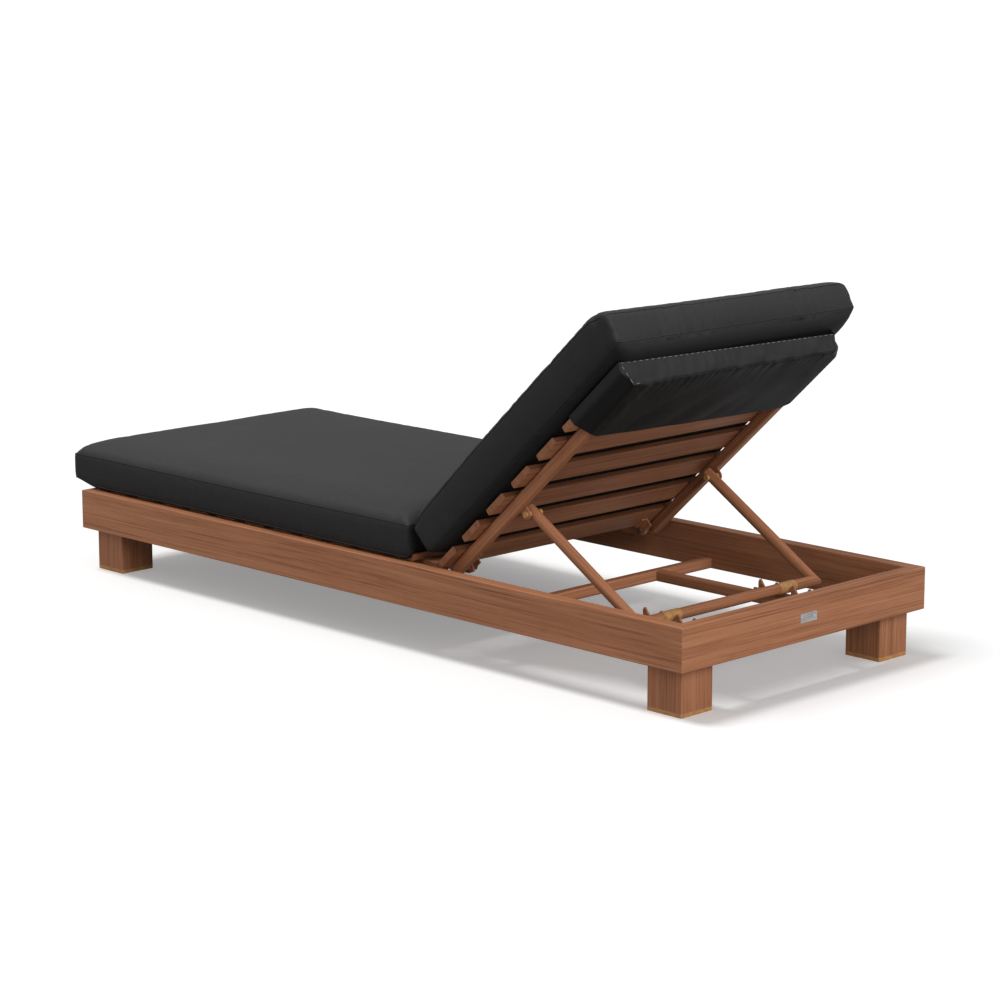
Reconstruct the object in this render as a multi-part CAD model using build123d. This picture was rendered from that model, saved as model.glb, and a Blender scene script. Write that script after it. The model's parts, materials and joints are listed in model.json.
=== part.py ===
from build123d import *
import math
import os

# Sun lounger: X runs across it, Y from the foot end to the head end, Z up.
# The origin lies on the floor, at the middle of the overall width and length.
# All sizes are in millimetres. The backrest is built lying flat, then raised about its hinge.

# Outer frame of four mitred box rails
frame_length = 2000
frame_width = 800
frame_rail_height = 96
frame_rail_thickness = 32
frame_rail_wall = 2.5
frame_rail_round = 2.5

# Legs, their foot caps and the brackets that hold them in the frame's corners
leg_width = 96
leg_stand = 94.5
leg_wall = 2.5
leg_round = 3
leg_top_thickness = 4
leg_inset_side = 28
leg_inset_end = 24
foot_cap_height = 9
foot_cap_plug = 14
foot_cap_wall = 3
bracket_thickness = 4
bracket_upstand = 34
leg_bolt_radius = 3
leg_bolt_head_radius = 5.5
leg_bolt_head_height = 4
leg_bolt_shank_past = 6
leg_bolt_spread = 52
leg_bolt_hole_clearance = 0.3

# Small square tube, used for every inner rail and cross member
tube_size = 25
tube_wall = 1.5
tube_round = 5
tube_plug_depth = 10

# Slats, alike on the seat and on the backrest
slat_width = 67.5
slat_thickness = 15
slat_side_gap = 3
slat_wall = 1.5
slat_round = 4
slat_pitch = 103
slat_plug_depth = 8
back_slat_count = 7

# Seat support
inner_rail_inset = 34
seat_slats_end_from_head = 829
seat_rail_past_slats = 44
foot_cross_tube_setback = 160
middle_cross_tube_share = 0.5

# Backrest hinge
back_angle = 42.85
hinge_gap = 94.6
hinge_tube_before_slats_end = 88
back_rail_setback = 2
hinge_plate_thickness = 4
hinge_plate_gap = 0.5
hinge_plate_inset = 32.5
hinge_plate_radius = 11
hinge_arm_length = 32
hinge_arm_rise = 8
hinge_flange_width = 20
hinge_pin_radius = 4
hinge_cap_radius = 7
hinge_cap_length = 10

# Prop that holds the backrest up, and the racks it stands in
prop_length = 362
prop_tube_radius = 12.5
prop_tube_wall = 1.5
prop_spacer_length = 7.2
prop_end_past_pin = 14
prop_lug_from_hinge = 255.6
prop_lug_drop = 13.2
prop_lug_radius = 11
prop_lug_thickness = 4
prop_pin_radius = 4
prop_cap_radius = 6.6
prop_outer_cap_length = 4
prop_inner_cap_length = 8
prop_end_cap_thickness = 2
prop_end_cap_plug = 8
sleeve_length = 54
sleeve_wall = 1
rack_inset_from_prop = 87
rack_thickness = 5
rack_web_height = 7.2
rack_tooth_count = 5
rack_tooth_in_use = 2
rack_tooth_pitch = 46.8
rack_tooth_height = 21.3
rack_tooth_bevel_run = 3
rack_tooth_bevel_rise = 5
rack_tooth_tip = 2.5
rack_tooth_slope_run = 15.2
rack_end_margin = 14
rack_stop_gap = 5
rack_cross_tube_from_hinge = 114.4

# Fits between parts
pin_running_clearance = 0.06
pin_fixed_clearance = 0.1
moving_gap = 0.3
soft_gap = 0.3
plug_clearance = 0.1

# Seat cushion
cushion_side_inset = 15
seat_cushion_foot_overhang = 50
seat_cushion_short_of_slats = 6
seat_cushion_side_height = 70
seat_cushion_crown = 22
seat_cushion_edge_round = 10
cushion_shoulder_width = 46
cushion_side_draw = 7

# Back cushion
back_cushion_start = 6.4
back_cushion_length = 778
back_cushion_rear_crown = 25.5
back_cushion_side_height = 63.5
back_cushion_crown = 26
back_cushion_lower_drop = 25
back_cushion_upper_drop = 12

# Fabric hood sewn to the back cushion, which slips over the top of the backrest
hood_cloth = 2
hood_slack = 1
hood_start = 524.4
hood_end_rear = 720.4
hood_end_front = 739.4
hood_side_rise = 4.5

# Bare plate riveted to the head rail
badge_width = 54
badge_height = 20.5
badge_thickness = 0.8
badge_above_rail_middle = 3
badge_rivet_radius = 2
badge_rivet_height = 0.7
badge_rivet_spread = 40

# A length that takes every cut clear of the body it cuts
overrun = 5

# Places worked out from the sizes above
badge_stand = badge_thickness + badge_rivet_height
head_reach = frame_length / 2 + badge_stand
foot_reach = frame_length / 2 + seat_cushion_foot_overhang
mid_y = (foot_reach - head_reach) / 2
head_face_y = mid_y + frame_length / 2
foot_face_y = mid_y - frame_length / 2
head_inner_y = head_face_y - frame_rail_thickness
foot_inner_y = foot_face_y + frame_rail_thickness
side_inner_x = frame_width / 2 - frame_rail_thickness
rail_bottom_z = foot_cap_height + leg_stand
rail_top_z = rail_bottom_z + frame_rail_height
slat_top_z = rail_top_z + slat_thickness
seat_slats_end_y = head_face_y - seat_slats_end_from_head
seat_slat_count = int((seat_slats_end_y - foot_inner_y) / slat_pitch)
seat_rail_end_y = seat_slats_end_y + seat_rail_past_slats
slat_half_length = side_inner_x - slat_side_gap
inner_rail_x = side_inner_x - inner_rail_inset - tube_size / 2
cushion_half_width = frame_width / 2 - cushion_side_inset
inner_rail_z = rail_top_z - tube_size / 2
cross_tube_z = inner_rail_z - tube_size
hinge_y = seat_slats_end_y + hinge_gap
hinge_z = inner_rail_z
back_start_y = hinge_y + back_rail_setback
back_end_y = back_start_y + slat_pitch * (back_slat_count - 1) + slat_width
hinge_tube_y = seat_slats_end_y - hinge_tube_before_slats_end
hinge_plate_inner_x = inner_rail_x - tube_size / 2 - hinge_plate_inset
prop_x = inner_rail_x - tube_size / 2 - prop_spacer_length - moving_gap - prop_tube_radius
prop_lug_y = hinge_y + prop_lug_from_hinge
prop_lug_z = hinge_z - tube_size / 2 - prop_lug_drop
rack_x = prop_x - prop_tube_radius - rack_inset_from_prop
rack_base_z = rail_bottom_z + tube_size
rack_floor_z = rack_base_z + rack_web_height
rack_cross_tube_y = hinge_y + rack_cross_tube_from_hinge + tube_size / 2
sleeve_radius = prop_tube_radius + sleeve_wall


def raised_point(y, z):
    """The place that a point of the flat backrest takes once it is raised."""
    turn = math.radians(back_angle)
    dy = y - hinge_y
    dz = z - hinge_z
    raised_y = hinge_y + dy * math.cos(turn) - dz * math.sin(turn)
    raised_z = hinge_z + dy * math.sin(turn) + dz * math.cos(turn)
    return raised_y, raised_z


prop_pin_y, prop_pin_z = raised_point(prop_lug_y, prop_lug_z)
bar_z = rack_floor_z + sleeve_radius + moving_gap
bar_y = prop_pin_y + math.sqrt(prop_length**2 - (prop_pin_z - bar_z) ** 2)
prop_slope = math.degrees(math.atan2(bar_z - prop_pin_z, bar_y - prop_pin_y))
rack_stop_y = bar_y + sleeve_radius + rack_stop_gap


def raise_back(shape):
    """Turn a piece of the flat backrest up about the hinge."""
    to_hinge = Pos(0, hinge_y, hinge_z)
    from_hinge = Pos(0, -hinge_y, -hinge_z)
    return to_hinge * Rot(back_angle, 0, 0) * from_hinge * shape


def place_prop(shape):
    """Put a piece of the prop, built along +Y from its pin, at its pin and slope."""
    return Pos(0, prop_pin_y, prop_pin_z) * Rot(prop_slope, 0, 0) * shape


def box_profile(width, height, corner_round):
    if corner_round > 0:
        return RectangleRounded(width, height, corner_round)
    return Rectangle(width, height)


def hollow_along_z(width, height, length, wall, corner_round):
    """Hollow box section centred on the origin, its length along Z."""
    outer = box_profile(width, height, corner_round)
    inner_round = max(corner_round - wall, 0)
    inner = box_profile(width - 2 * wall, height - 2 * wall, inner_round)
    return extrude(outer - inner, length / 2, both=True)


def tube_along_y(width, height, start, end, wall, corner_round):
    body = hollow_along_z(width, height, end - start, wall, corner_round)
    return Pos(0, (start + end) / 2, 0) * Rot(90, 0, 0) * body


def tube_along_x(width, height, half_length, wall, corner_round):
    body = hollow_along_z(width, height, 2 * half_length, wall, corner_round)
    return Rot(0, 90, 0) * Rot(0, 0, 90) * body


def square_tube_x(half_length):
    return tube_along_x(tube_size, tube_size, half_length, tube_wall, tube_round)


def square_tube_y(start, end):
    return tube_along_y(tube_size, tube_size, start, end, tube_wall, tube_round)


def tube_plug(depth):
    """Plug that fills the end of a square tube, its length along Z."""
    inner = tube_size - 2 * (tube_wall + plug_clearance)
    return extrude(RectangleRounded(inner, inner, tube_round - tube_wall), depth)


def rod_x(radius, start, end):
    """Round bar along X between two places."""
    body = extrude(Circle(radius), end - start)
    return Pos(start, 0, 0) * Rot(0, 90, 0) * body


def plate_yz(sketch, start, end):
    """Extrude a sketch drawn in Y and Z from one X to another."""
    return Pos(start, 0, 0) * extrude(Plane.YZ * sketch, end - start)


def mirror_x(shape):
    return mirror(shape, about=Plane.YZ)


def outline(points):
    return make_face(Polyline(*points, close=True))


def write(name, *solids):
    shape = solids[0] if len(solids) == 1 else Compound(children=list(solids))
    shape.label = name
    export_step(shape, f"parts/{name}.step")


# Outer frame


def side_rail():
    """Side rail on the +X side, mitred at both ends."""
    centre_x = (frame_width - frame_rail_thickness) / 2
    centre_z = rail_bottom_z + frame_rail_height / 2
    body = tube_along_y(
        frame_rail_thickness, frame_rail_height, foot_face_y, head_face_y, frame_rail_wall, frame_rail_round
    )
    half = frame_width / 2
    keep = outline(
        [(half, foot_face_y), (half, head_face_y), (side_inner_x, head_inner_y), (side_inner_x, foot_inner_y)]
    )
    return Pos(centre_x, 0, centre_z) * body & Pos(0, 0, rail_bottom_z) * extrude(keep, frame_rail_height)


def head_rail():
    """Rail across the head end, mitred at both ends."""
    centre_y = head_face_y - frame_rail_thickness / 2
    centre_z = rail_bottom_z + frame_rail_height / 2
    body = tube_along_x(
        frame_rail_thickness, frame_rail_height, frame_width / 2, frame_rail_wall, frame_rail_round
    )
    half = frame_width / 2
    keep = outline([(-half, head_face_y), (half, head_face_y), (side_inner_x, head_inner_y), (-side_inner_x, head_inner_y)])
    return Pos(0, centre_y, centre_z) * body & Pos(0, 0, rail_bottom_z) * extrude(keep, frame_rail_height)


def mirror_to_foot(shape):
    """Mirror a piece of the head end to the foot end of the frame."""
    return mirror(shape, about=Plane.XZ.offset(-mid_y))


leg_x = frame_width / 2 - leg_inset_side - leg_width / 2
leg_y = head_face_y - leg_inset_end - leg_width / 2


def leg_bolt_places():
    """Bolt places around a leg's middle, inside the frame's corner."""
    half = leg_bolt_spread / 2
    inward = leg_inset_side / 2
    return [(sx * half - inward, sy * half - inward) for sx in (-1, 1) for sy in (-1, 1)]


def leg():
    """Leg at the head end on the +X side: a box tube with a plate welded in its top."""
    body = hollow_along_z(leg_width, leg_width, leg_stand, leg_wall, leg_round)
    inner = leg_width - 2 * leg_wall
    top = Pos(0, 0, leg_stand / 2 - leg_top_thickness) * extrude(Rectangle(inner, inner), leg_top_thickness)
    body = body + top
    hole_radius = leg_bolt_radius + leg_bolt_hole_clearance
    for x, y in leg_bolt_places():
        body = body - Pos(x, y, leg_stand / 2) * Cylinder(hole_radius, 2 * (leg_top_thickness + overrun))
    return Pos(leg_x, leg_y, foot_cap_height + leg_stand / 2) * body


def foot_cap():
    """Moulded cap under a leg, with a short collar that plugs into the tube."""
    base = extrude(RectangleRounded(leg_width, leg_width, leg_round), foot_cap_height)
    collar_width = leg_width - 2 * (leg_wall + plug_clearance)
    collar_inner = collar_width - 2 * foot_cap_wall
    collar = RectangleRounded(collar_width, collar_width, leg_round) - Rectangle(collar_inner, collar_inner)
    body = base + Pos(0, 0, foot_cap_height) * extrude(collar, foot_cap_plug)
    return Pos(leg_x, leg_y, 0) * body


def corner_bracket():
    """Plate in the frame's corner on top of a leg, with an upstand along each rail."""
    inner_x = leg_x - leg_width / 2
    inner_y = leg_y - leg_width / 2
    size_x = side_inner_x - inner_x
    size_y = head_inner_y - inner_y
    centre_x = inner_x + size_x / 2
    centre_y = inner_y + size_y / 2
    plate = Pos(centre_x, centre_y, 0) * extrude(Rectangle(size_x, size_y), bracket_thickness)
    side = Pos(side_inner_x - bracket_thickness / 2, centre_y, 0) * extrude(
        Rectangle(bracket_thickness, size_y), bracket_upstand
    )
    end = Pos(centre_x, head_inner_y - bracket_thickness / 2, 0) * extrude(
        Rectangle(size_x, bracket_thickness), bracket_upstand
    )
    body = plate + side + end
    hole_radius = leg_bolt_radius + leg_bolt_hole_clearance
    for x, y in leg_bolt_places():
        body = body - Pos(leg_x + x, leg_y + y, 0) * Cylinder(hole_radius, 2 * (bracket_thickness + overrun))
    return Pos(0, 0, rail_bottom_z) * body


def leg_bolts():
    """Hexagon bolts that hold one leg to its corner bracket."""
    shank_length = bracket_thickness + leg_top_thickness + leg_bolt_shank_past
    bolts = []
    for x, y in leg_bolt_places():
        head = extrude(RegularPolygon(leg_bolt_head_radius, 6), leg_bolt_head_height)
        shank = extrude(Circle(leg_bolt_radius), -shank_length)
        bolts.append(Pos(leg_x + x, leg_y + y, rail_bottom_z + bracket_thickness) * (head + shank))
    return bolts


def at_corners(shape):
    """A head-end piece on the +X side and its three mirror images."""
    left = mirror_x(shape)
    return {
        "head_right": shape,
        "head_left": left,
        "foot_right": mirror_to_foot(shape),
        "foot_left": mirror_to_foot(left),
    }


# Seat support and slats


def seat_rail():
    return Pos(inner_rail_x, 0, inner_rail_z) * square_tube_y(foot_inner_y, seat_rail_end_y)


def seat_cross_tubes():
    """Cross tubes under the seat rails, from one side rail to the other."""
    foot_y = foot_inner_y + foot_cross_tube_setback
    middle_y = foot_y + (hinge_tube_y - foot_y) * middle_cross_tube_share
    return [Pos(0, y, cross_tube_z) * square_tube_x(side_inner_x) for y in (foot_y, middle_y, hinge_tube_y)]


def slat(foot_edge_y):
    """Hollow slat across the rails, with its foot-side edge at the given place."""
    body = tube_along_x(slat_width, slat_thickness, slat_half_length, slat_wall, slat_round)
    return Pos(0, foot_edge_y + slat_width / 2, rail_top_z + slat_thickness / 2) * body


def slat_plugs(foot_edge_y):
    """Plugs in both ends of a slat, flush with them."""
    width = slat_width - 2 * (slat_wall + plug_clearance)
    height = slat_thickness - 2 * (slat_wall + plug_clearance)
    profile = RectangleRounded(width, height, slat_round - slat_wall)
    body = Rot(0, 90, 0) * Rot(0, 0, 90) * extrude(profile, slat_plug_depth)
    place = Pos(slat_half_length - slat_plug_depth, foot_edge_y + slat_width / 2, rail_top_z + slat_thickness / 2)
    right = place * body
    return [right, mirror_x(right)]


def seat_slat_edges():
    first = seat_slats_end_y - slat_width
    return [first - slat_pitch * k for k in range(seat_slat_count)]


def back_slat_edges():
    return [back_start_y + slat_pitch * k for k in range(back_slat_count)]


# Hinges between the seat and the backrest


def hinge_arm(start_y, end_y, low_z, high_z, hole_radius):
    """Outline of an arm that is round about the hinge pin, with the pin's hole in it."""
    arm = Pos((start_y + end_y) / 2, (low_z + high_z) / 2) * Rectangle(end_y - start_y, high_z - low_z)
    arm = arm + Pos(hinge_y, hinge_z) * Circle(hinge_plate_radius)
    return arm - Pos(hinge_y, hinge_z) * Circle(hole_radius)


seat_plate_x = hinge_plate_inner_x + hinge_plate_thickness + hinge_plate_gap


def seat_hinge_plate():
    """Plate on the hinge cross tube, with a flange that lies on the tube."""
    low_z = cross_tube_z + tube_size / 2
    hole_radius = hinge_pin_radius + pin_fixed_clearance
    face = hinge_arm(hinge_tube_y - tube_size / 2, hinge_y, low_z, hinge_z + hinge_arm_rise, hole_radius)
    plate = plate_yz(face, seat_plate_x, seat_plate_x + hinge_plate_thickness)
    flange = Pos(hinge_tube_y, low_z + hinge_plate_thickness / 2) * Rectangle(tube_size, hinge_plate_thickness)
    return plate + plate_yz(flange, seat_plate_x, seat_plate_x + hinge_flange_width)


def back_hinge_plate():
    """Plate under the lowest backrest slat, with a flange against the slat."""
    end_y = hinge_y + hinge_arm_length
    hole_radius = hinge_pin_radius + pin_running_clearance
    face = hinge_arm(hinge_y, end_y, hinge_z - hinge_arm_rise, rail_top_z, hole_radius)
    outer_x = hinge_plate_inner_x + hinge_plate_thickness
    plate = plate_yz(face, hinge_plate_inner_x, outer_x)
    flange_place = Pos((back_start_y + end_y) / 2, rail_top_z - hinge_plate_thickness / 2)
    flange = flange_place * Rectangle(end_y - back_start_y, hinge_plate_thickness)
    return raise_back(plate + plate_yz(flange, outer_x - hinge_flange_width, outer_x))


def hinge_pin():
    """Pin through both hinge plates, with a round cap on each end."""
    inner_x = hinge_plate_inner_x - moving_gap
    outer_x = seat_plate_x + hinge_plate_thickness
    inner_cap = rod_x(hinge_cap_radius, inner_x - hinge_cap_length, inner_x)
    outer_cap = rod_x(hinge_cap_radius, outer_x, outer_x + hinge_cap_length)
    pin = rod_x(hinge_pin_radius, inner_x - hinge_cap_length / 2, outer_x + hinge_cap_length / 2)
    return Pos(0, hinge_y, hinge_z) * (inner_cap + pin + outer_cap)


# Backrest frame


def back_rail():
    body = Pos(inner_rail_x, 0, inner_rail_z) * square_tube_y(back_start_y, back_end_y)
    return raise_back(body)


def back_head_tube():
    """Tube between the backrest rails at their upper ends."""
    half = inner_rail_x - tube_size / 2
    body = Pos(0, back_end_y - tube_size / 2, inner_rail_z) * square_tube_x(half)
    return raise_back(body)


def rail_plugs_at(rail_ends):
    """Plugs in tube ends along Y. Each entry is the end's Y and the way into the tube."""
    plugs = []
    for y, inward in rail_ends:
        plug = Pos(inner_rail_x, y, inner_rail_z) * Rot(-90 * inward, 0, 0) * tube_plug(tube_plug_depth)
        plugs.extend([plug, mirror_x(plug)])
    return plugs


def prop_lug():
    """Round-ended plate under a backrest rail, with the hole for the prop's pin."""
    top_z = inner_rail_z - tube_size / 2
    centre_z = (top_z + prop_lug_z) / 2
    face = Pos(prop_lug_y, centre_z) * Rectangle(2 * prop_lug_radius, top_z - prop_lug_z)
    face = face + Pos(prop_lug_y, prop_lug_z) * Circle(prop_lug_radius)
    face = face - Pos(prop_lug_y, prop_lug_z) * Circle(prop_pin_radius + pin_fixed_clearance)
    inner_x = inner_rail_x - tube_size / 2
    return raise_back(plate_yz(face, inner_x, inner_x + prop_lug_thickness))


def prop_pin():
    """Pin that carries the prop, with a flat outer cap and a longer inner cap."""
    lug_inner_x = inner_rail_x - tube_size / 2
    lug_outer_x = lug_inner_x + prop_lug_thickness
    leg_inner_x = prop_x - prop_tube_radius - moving_gap
    outer_cap = rod_x(prop_cap_radius, lug_outer_x, lug_outer_x + prop_outer_cap_length)
    inner_cap = rod_x(prop_cap_radius, leg_inner_x - prop_inner_cap_length, leg_inner_x)
    pin = rod_x(prop_pin_radius, leg_inner_x - prop_inner_cap_length / 2, lug_outer_x + prop_outer_cap_length / 2)
    return Pos(0, prop_pin_y, prop_pin_z) * (outer_cap + pin + inner_cap)


def prop_spacer():
    """Ring on the pin between the lug and the prop's leg."""
    lug_inner_x = inner_rail_x - tube_size / 2
    leg_outer_x = prop_x + prop_tube_radius + moving_gap
    ring = rod_x(prop_cap_radius, leg_outer_x, lug_inner_x)
    bore = rod_x(prop_pin_radius + pin_fixed_clearance, leg_outer_x - overrun, lug_inner_x + overrun)
    return Pos(0, prop_pin_y, prop_pin_z) * (ring - bore)


# Prop, built flat with its pin on the X axis and its legs along +Y


def prop_corner_keep(inner_side):
    """Block on one side of the mitre at the prop's +X lower corner."""
    reach = 2 * prop_x + prop_length
    corner = (prop_x + reach, prop_length + reach)
    base = (prop_x - reach, prop_length - reach)
    third = (base[0], corner[1]) if inner_side else (corner[0], base[1])
    face = outline([base, corner, third])
    return extrude(face, prop_tube_radius + overrun, both=True)


def round_tube(length):
    profile = Circle(prop_tube_radius) - Circle(prop_tube_radius - prop_tube_wall)
    return extrude(profile, length)


def prop_leg():
    """Leg on the +X side, with its pin hole, mitred to meet the bar."""
    start = -prop_end_past_pin
    length = prop_length + 2 * prop_tube_radius - start
    body = Pos(prop_x, start, 0) * Rot(-90, 0, 0) * round_tube(length)
    body = body & prop_corner_keep(False)
    hole_radius = prop_pin_radius + pin_running_clearance
    hole = rod_x(hole_radius, prop_x - prop_tube_radius - overrun, prop_x + prop_tube_radius + overrun)
    return place_prop(body - hole)


def prop_bar():
    """Bar across the lower end, mitred at both ends."""
    half = prop_x + 2 * prop_tube_radius
    body = Pos(-half, prop_length, 0) * Rot(0, 90, 0) * round_tube(2 * half)
    keep = prop_corner_keep(True)
    keep_left = mirror_x(keep)
    return place_prop(body & keep & keep_left)


def prop_end_cap():
    """Round cap that plugs the upper end of a leg."""
    disc = extrude(Circle(prop_tube_radius), prop_end_cap_thickness)
    plug = extrude(Circle(prop_tube_radius - prop_tube_wall - plug_clearance), -prop_end_cap_plug)
    return place_prop(Pos(prop_x, -prop_end_past_pin, 0) * Rot(90, 0, 0) * (disc + plug))


def bar_sleeve():
    """Plastic sleeve on the bar where it lies in a rack."""
    bore = prop_tube_radius + plug_clearance
    body = rod_x(sleeve_radius, rack_x - sleeve_length / 2, rack_x + sleeve_length / 2)
    body = body - rod_x(bore, rack_x - sleeve_length / 2 - overrun, rack_x + sleeve_length / 2 + overrun)
    return place_prop(Pos(0, prop_length, 0) * body)


# Racks


def rack():
    """Toothed plate on its beam. Each tooth is upright towards the foot end and slopes behind."""
    first_y = rack_stop_y - rack_tooth_in_use * rack_tooth_pitch
    tip_z = rack_floor_z + rack_tooth_height
    points = [(first_y - rack_end_margin, rack_base_z), (first_y - rack_end_margin, rack_floor_z)]
    for k in range(rack_tooth_count):
        y = first_y + k * rack_tooth_pitch
        bevel_y = y + rack_tooth_bevel_run
        back_y = bevel_y + rack_tooth_tip
        points.append((y, rack_floor_z))
        points.append((y, tip_z - rack_tooth_bevel_rise))
        points.append((bevel_y, tip_z))
        points.append((back_y, tip_z))
        points.append((back_y + rack_tooth_slope_run, rack_floor_z))
    end_y = points[-1][0] + rack_end_margin
    points.extend([(end_y, rack_floor_z), (end_y, rack_base_z)])
    return plate_yz(outline(points), rack_x - rack_thickness / 2, rack_x + rack_thickness / 2)


def rack_beam():
    start = rack_cross_tube_y + tube_size / 2
    return Pos(rack_x, 0, rail_bottom_z + tube_size / 2) * square_tube_y(start, head_inner_y)


def rack_cross_tube():
    return Pos(0, rack_cross_tube_y, rail_bottom_z + tube_size / 2) * square_tube_x(side_inner_x)


# Cushions: lofts through upright sections that follow one another along Y


def bulged_edge(start, end, bulge_share):
    """Arc between two points of a section, bulging to the right of the way along it."""
    run = end[0] - start[0]
    rise = end[1] - start[1]
    middle = ((start[0] + end[0]) / 2 + rise * bulge_share, (start[1] + end[1]) / 2 - run * bulge_share)
    return ThreePointArc(start, middle, end)


def cushion_section(y, half_width, low_z, rear_width, rear_rise, rear_bulge_share, side_top_z, crown_z):
    """Closed section of a cushion: flat underside, side walls and a crowned top."""
    rear = (half_width - rear_width, low_z)
    seam = (half_width, low_z + rear_rise)
    top = (half_width, side_top_z)
    shoulder = (half_width - cushion_shoulder_width, side_top_z + (crown_z - side_top_z) * shoulder_rise_share)
    left_rear, left_seam, left_top, left_shoulder = [(-x, z) for x, z in (rear, seam, top, shoulder)]
    edges = [
        Line(left_rear, rear),
        bulged_edge(rear, seam, rear_bulge_share),
        Line(seam, top),
        bulged_edge(top, shoulder, shoulder_bulge_share),
        ThreePointArc(shoulder, (0, crown_z), left_shoulder),
        bulged_edge(left_shoulder, left_top, shoulder_bulge_share),
        Line(left_top, left_seam),
        bulged_edge(left_seam, left_rear, rear_bulge_share),
    ]
    return Pos(0, y, 0) * Rot(90, 0, 0) * make_face(edges)


# Shares that shape a section's soft corners, and the share of the crown left at a cushion's ends
shoulder_rise_share = 0.8
shoulder_bulge_share = 0.15
round_bulge_share = 0.2
rear_bulge_share = 0.12
crown_at_edge_share = 0.15

# Where the sections lie in from each end of a cushion, and how far each has risen to the full crown
edge_place_shares = (0, 0.25, 0.6, 1)
edge_rise_shares = (0, 0.55, 0.88, 1)
middle_place_shares = (0.25, 0.5, 0.75)


def cushion_stations(start, end, edge_width):
    """Places along a cushion, each with its share of the start's and the end's full height."""
    stations = []
    for place, rise in zip(edge_place_shares, edge_rise_shares):
        stations.append((start + place * edge_width, rise, 1))
    for place in middle_place_shares:
        stations.append((start + edge_width + (end - start - 2 * edge_width) * place, 1, 1))
    for place, rise in zip(reversed(edge_place_shares), reversed(edge_rise_shares)):
        stations.append((end - place * edge_width, 1, rise))
    return stations


def drawn_half_width(y, start, end):
    """Half width at a place along a cushion: full at its corners, drawn in between them."""
    return cushion_half_width - cushion_side_draw * math.sin(math.pi * (y - start) / (end - start))


def seat_cushion():
    start = foot_face_y - seat_cushion_foot_overhang
    end = seat_slats_end_y - seat_cushion_short_of_slats
    low_z = slat_top_z + soft_gap
    side_top_z = low_z + seat_cushion_side_height
    corner = seat_cushion_edge_round
    sections = []
    for y, start_rise, end_rise in cushion_stations(start, end, cushion_shoulder_width):
        rise = min(start_rise, end_rise)
        half = drawn_half_width(y, start, end)
        top = side_top_z - corner * (1 - rise)
        crown = top + seat_cushion_crown * (crown_at_edge_share + (1 - crown_at_edge_share) * rise)
        sections.append(cushion_section(y, half, low_z, corner, corner, round_bulge_share, top, crown))
    return loft(sections, ruled=True)


def back_cushion():
    start = hinge_y + back_cushion_start
    end = start + back_cushion_length
    low_z = slat_top_z + soft_gap
    side_top_z = low_z + back_cushion_rear_crown + back_cushion_side_height
    rear_width = cushion_shoulder_width
    rear_rise = back_cushion_rear_crown
    sections = []
    for y, start_rise, end_rise in cushion_stations(start, end, cushion_shoulder_width):
        rise = min(start_rise, end_rise)
        half = drawn_half_width(y, start, end)
        top = side_top_z - back_cushion_lower_drop * (1 - start_rise) - back_cushion_upper_drop * (1 - end_rise)
        crown = top + back_cushion_crown * (crown_at_edge_share + (1 - crown_at_edge_share) * rise)
        sections.append(cushion_section(y, half, low_z, rear_width, rear_rise, rear_bulge_share, top, crown))
    return raise_back(loft(sections, ruled=True))


# Hood over the top of the backrest

hood_inner_x = slat_half_length + hood_slack
hood_rear_z = rail_top_z - tube_size - soft_gap


def hood_back_panel():
    """Cloth behind the rails, from the hem up to the closed end."""
    start = hinge_y + hood_start
    end = hinge_y + hood_end_rear
    half = inner_rail_x + tube_size / 2 + hood_slack
    body = Pos(0, (start + end) / 2, hood_rear_z) * extrude(Rectangle(2 * half, end - start), -hood_cloth)
    return raise_back(body)


def hood_side_panel():
    """Cloth round the slat ends on the +X side, drawn in to the rail behind them."""
    start = hinge_y + hood_start
    end = hinge_y + hood_end_rear
    rail_outer = inner_rail_x + tube_size / 2 + hood_slack
    top_z = slat_top_z + hood_side_rise
    points = [
        (hood_inner_x, top_z),
        (hood_inner_x + hood_cloth, top_z),
        (hood_inner_x + hood_cloth, rail_top_z - hood_cloth),
        (rail_outer + 2 * hood_cloth, hood_rear_z - hood_cloth),
        (rail_outer + hood_slack, hood_rear_z),
        (hood_inner_x, rail_top_z),
    ]
    body = Pos(0, end, 0) * Rot(90, 0, 0) * extrude(outline(points), end - start)
    return raise_back(body)


def hood_end_band():
    """Cloth band that closes the hood past the ends of the rails."""
    front_z = slat_top_z - hood_cloth
    points = [
        (hinge_y + hood_end_rear + soft_gap, hood_rear_z - hood_cloth),
        (hinge_y + hood_end_rear + soft_gap + hood_cloth, hood_rear_z - hood_cloth),
        (hinge_y + hood_end_front + hood_cloth, front_z),
        (hinge_y + hood_end_front, front_z),
    ]
    half = hood_inner_x + hood_cloth
    return raise_back(plate_yz(outline(points), -half, half))


# Bare plate on the head rail


def badge_plate():
    z = rail_bottom_z + frame_rail_height / 2 + badge_above_rail_middle
    body = extrude(Rectangle(badge_width, badge_height), badge_thickness)
    return Pos(0, head_face_y, z) * Rot(-90, 0, 0) * body


def badge_rivets():
    z = rail_bottom_z + frame_rail_height / 2 + badge_above_rail_middle
    heads = []
    for side in (-1, 1):
        head = extrude(Circle(badge_rivet_radius), badge_rivet_height)
        heads.append(Pos(side * badge_rivet_spread / 2, head_face_y + badge_thickness, z) * Rot(-90, 0, 0) * head)
    return heads


os.makedirs("parts", exist_ok=True)

side = side_rail()
write("side_rail_right", side)
write("side_rail_left", mirror_x(side))
head = head_rail()
write("head_rail", head)
write("foot_rail", mirror_to_foot(head))

for corner, shape in at_corners(leg()).items():
    write(f"leg_{corner}", shape)
write("foot_caps", *at_corners(foot_cap()).values())
write("corner_brackets", *at_corners(corner_bracket()).values())
bolts = [shape for bolt in leg_bolts() for shape in at_corners(bolt).values()]
write("leg_bolts", *bolts)

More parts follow.
